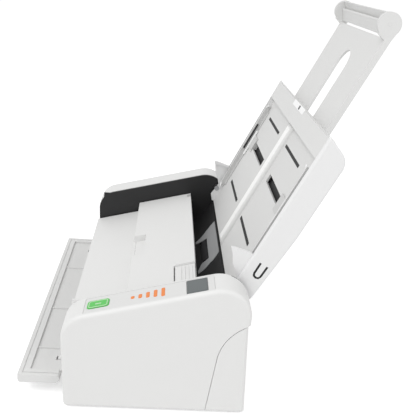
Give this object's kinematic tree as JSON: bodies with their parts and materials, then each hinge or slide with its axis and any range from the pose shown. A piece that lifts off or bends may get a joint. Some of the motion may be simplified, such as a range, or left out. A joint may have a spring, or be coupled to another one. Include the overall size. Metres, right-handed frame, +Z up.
{
  "type": "document scanner",
  "caption": "Sheet-fed desktop document scanner with a folding input tray, sliding paper guides, a hinged top cover over its rollers and a folding output tray.",
  "frame": {"origin": "centre of the bounding box in plan, on the surface the feet stand on", "axes": "+X to the side with the controls, -Y to the side where the paper comes out, +Z up; the scanner stands with its input tray open, its extension drawn out and its output tray folded down"},
  "size_m": [0.3, 0.2904, 0.3318],
  "materials": {
    "white_shell": "fine matt",
    "tray_grey": "fine matt",
    "surface_grey": "fine matt",
    "black_plastic": "matt",
    "dark_grey_plastic": "satin",
    "control_grey": "satin",
    "display": "glossy",
    "button_green": "glossy",
    "lamp_orange": "glossy",
    "soft_rubber": "matt",
    "roller_grey": "matt",
    "scan_glass": "polished",
    "steel": "ground",
    "motor_can": "plated",
    "gear_plastic": "natural",
    "circuit_green": "satin"
  },
  "bodies": {
    "case": {"right_pod": "white_shell", "left_pod": "white_shell", "rear_cover": "white_shell", "front_panel": "white_shell", "base_plate": "black_plastic", "right_inner_wall": "black_plastic", "left_inner_wall": "black_plastic", "lower_paper_guide": "black_plastic", "entry_chute": "black_plastic", "pickup_frame": "dark_grey_plastic", "lower_sensor_bar": "black_plastic", "lower_glass": "scan_glass", "usb_socket": "black_plastic", "power_socket": "black_plastic", "control_panel": "control_grey", "display_window": "display", "indicator_lamps": "lamp_orange", "rubber_feet": "soft_rubber", "idler_pins": "steel", "case_screws": "steel", "drive_motor": "motor_can", "shaft_bushes": "gear_plastic", "main_board": "circuit_green"},
    "output_tray": {"output_tray": "white_shell"},
    "cover": {"top_cover": "white_shell", "upper_paper_guide": "black_plastic", "upper_sensor_bar": "black_plastic", "upper_glass": "scan_glass", "cover_hinge_pins": "steel"},
    "cover_release": {"cover_release": "white_shell"},
    "separation_roller": {"separation_roller": "roller_grey"},
    "transport_pinch": {"transport_pinch_roller": "roller_grey"},
    "exit_pinch": {"exit_pinch_roller": "roller_grey"},
    "feed_drive": {"feed_shaft": "steel", "feed_roller": "soft_rubber", "feed_gear": "gear_plastic"},
    "pickup_drive": {"pickup_shaft": "steel", "pickup_roller": "soft_rubber", "pickup_gear": "gear_plastic"},
    "transport_drive": {"transport_shaft": "steel", "transport_roller": "soft_rubber", "transport_gear": "gear_plastic"},
    "exit_drive": {"exit_shaft": "steel", "exit_roller": "soft_rubber", "exit_gear": "gear_plastic"},
    "pickup_idler": {"pickup_idler_gear": "gear_plastic"},
    "transport_idler": {"transport_idler_gear": "gear_plastic"},
    "exit_idler": {"exit_idler_gear": "gear_plastic"},
    "motor_pinion": {"motor_pinion": "gear_plastic"},
    "start_button": {"start_button": "button_green"},
    "input_tray": {"input_tray": "tray_grey", "tray_fins": "tray_grey", "paper_surface": "surface_grey", "tray_top_bar": "tray_grey", "tray_hinge_pins": "steel"},
    "left_guide": {"left_guide": "surface_grey"},
    "right_guide": {"right_guide": "surface_grey"},
    "guide_pinion": {"guide_pinion": "gear_plastic"},
    "tray_extension": {"tray_extension": "tray_grey"},
    "paper_stop": {"paper_stop": "tray_grey"}
  },
  "joints": [
    {"name": "input_tray_hinge", "type": "hinge", "parent": "case", "child": "input_tray", "pos_m": [0, 0.0313, 0.1062], "axis": [-1, 0, 0], "range_deg": [-129.9, 0]},
    {"name": "extension_slide", "type": "slide", "parent": "input_tray", "child": "tray_extension", "axis": [0, 0.4099, 0.9121], "range_m": [-0.08, 0]},
    {"name": "paper_stop_hinge", "type": "hinge", "parent": "tray_extension", "child": "paper_stop", "pos_m": [0, 0.1354, 0.32199], "axis": [1, 0, 0], "range_deg": [0, 90]},
    {"name": "left_guide_slide", "type": "slide", "parent": "input_tray", "child": "left_guide", "axis": [1, 0, 0], "range_m": [0, 0.06]},
    {"name": "right_guide_slide", "type": "slide", "parent": "input_tray", "child": "right_guide", "axis": [1, 0, 0], "range_m": [-0.06, 0]},
    {"name": "guide_pinion_spin", "type": "hinge", "parent": "input_tray", "child": "guide_pinion", "pos_m": [0, 0.06778, 0.17006], "axis": [0, -0.9121, 0.4099], "range_deg": [-600, 600]},
    {"name": "cover_hinge", "type": "hinge", "parent": "case", "child": "cover", "pos_m": [0, -0.0917, 0.046], "axis": [1, 0, 0], "range_deg": [0, 65]},
    {"name": "release_press", "type": "slide", "parent": "cover", "child": "cover_release", "axis": [0, 0.2706, -0.9627], "range_m": [0, 0.0015], "stiffness_N_per_m": 400, "springref_m": -0.001},
    {"name": "start_press", "type": "slide", "parent": "case", "child": "start_button", "axis": [0, 0.2706, -0.9627], "range_m": [0, 0.0008], "stiffness_N_per_m": 400, "springref_m": -0.0005},
    {"name": "output_tray_hinge", "type": "hinge", "parent": "case", "child": "output_tray", "pos_m": [0, -0.1132, 0.0155], "axis": [1, 0, 0], "range_deg": [-90, 0]},
    {"name": "feed_spin", "type": "hinge", "parent": "case", "child": "feed_drive", "pos_m": [0, -0.00451, 0.04812], "axis": [1, 0, 0], "continuous": true},
    {"name": "pickup_spin", "type": "hinge", "parent": "case", "child": "pickup_drive", "pos_m": [0, 0.02147, 0.06283], "axis": [1, 0, 0], "continuous": true},
    {"name": "transport_spin", "type": "hinge", "parent": "case", "child": "transport_drive", "pos_m": [0, -0.0307, 0.04595], "axis": [1, 0, 0], "continuous": true},
    {"name": "exit_spin", "type": "hinge", "parent": "case", "child": "exit_drive", "pos_m": [0, -0.07594, 0.03323], "axis": [1, 0, 0], "continuous": true},
    {"name": "pickup_idler_spin", "type": "hinge", "parent": "case", "child": "pickup_idler", "pos_m": [0, 0.01845, 0.04605], "axis": [1, 0, 0], "continuous": true},
    {"name": "transport_idler_spin", "type": "hinge", "parent": "case", "child": "transport_idler", "pos_m": [0, -0.0218, 0.0314], "axis": [1, 0, 0], "continuous": true},
    {"name": "exit_idler_spin", "type": "hinge", "parent": "case", "child": "exit_idler", "pos_m": [0, -0.05194, 0.03467], "axis": [1, 0, 0], "continuous": true},
    {"name": "motor_spin", "type": "hinge", "parent": "case", "child": "motor_pinion", "pos_m": [0, 0.00652, 0.02902], "axis": [1, 0, 0], "continuous": true},
    {"name": "separation_spin", "type": "hinge", "parent": "cover", "child": "separation_roller", "pos_m": [0, -0.01027, 0.06862], "axis": [1, 0, 0], "continuous": true},
    {"name": "transport_pinch_spin", "type": "hinge", "parent": "cover", "child": "transport_pinch", "pos_m": [0, -0.03402, 0.05779], "axis": [1, 0, 0], "continuous": true},
    {"name": "exit_pinch_spin", "type": "hinge", "parent": "cover", "child": "exit_pinch", "pos_m": [0, -0.07927, 0.04507], "axis": [1, 0, 0], "continuous": true}
  ],
  "couplings": [
    {"joint": "right_guide_slide", "follows": "left_guide_slide", "ratio": -1},
    {"joint": "guide_pinion_spin", "follows": "left_guide_slide", "rad_per_m": -166.67},
    {"joint": "pickup_spin", "follows": "feed_spin", "ratio": 1.6667},
    {"joint": "transport_spin", "follows": "feed_spin", "ratio": 1.875},
    {"joint": "exit_spin", "follows": "feed_spin", "ratio": 1.875},
    {"joint": "pickup_idler_spin", "follows": "feed_spin", "ratio": -1.875},
    {"joint": "transport_idler_spin", "follows": "feed_spin", "ratio": -1.6667},
    {"joint": "exit_idler_spin", "follows": "feed_spin", "ratio": -0.9375},
    {"joint": "motor_spin", "follows": "feed_spin", "ratio": -2.1429},
    {"joint": "separation_spin", "follows": "feed_spin", "ratio": -1.3333},
    {"joint": "transport_pinch_spin", "follows": "feed_spin", "ratio": -2.625},
    {"joint": "exit_pinch_spin", "follows": "feed_spin", "ratio": -2.625}
  ]
}
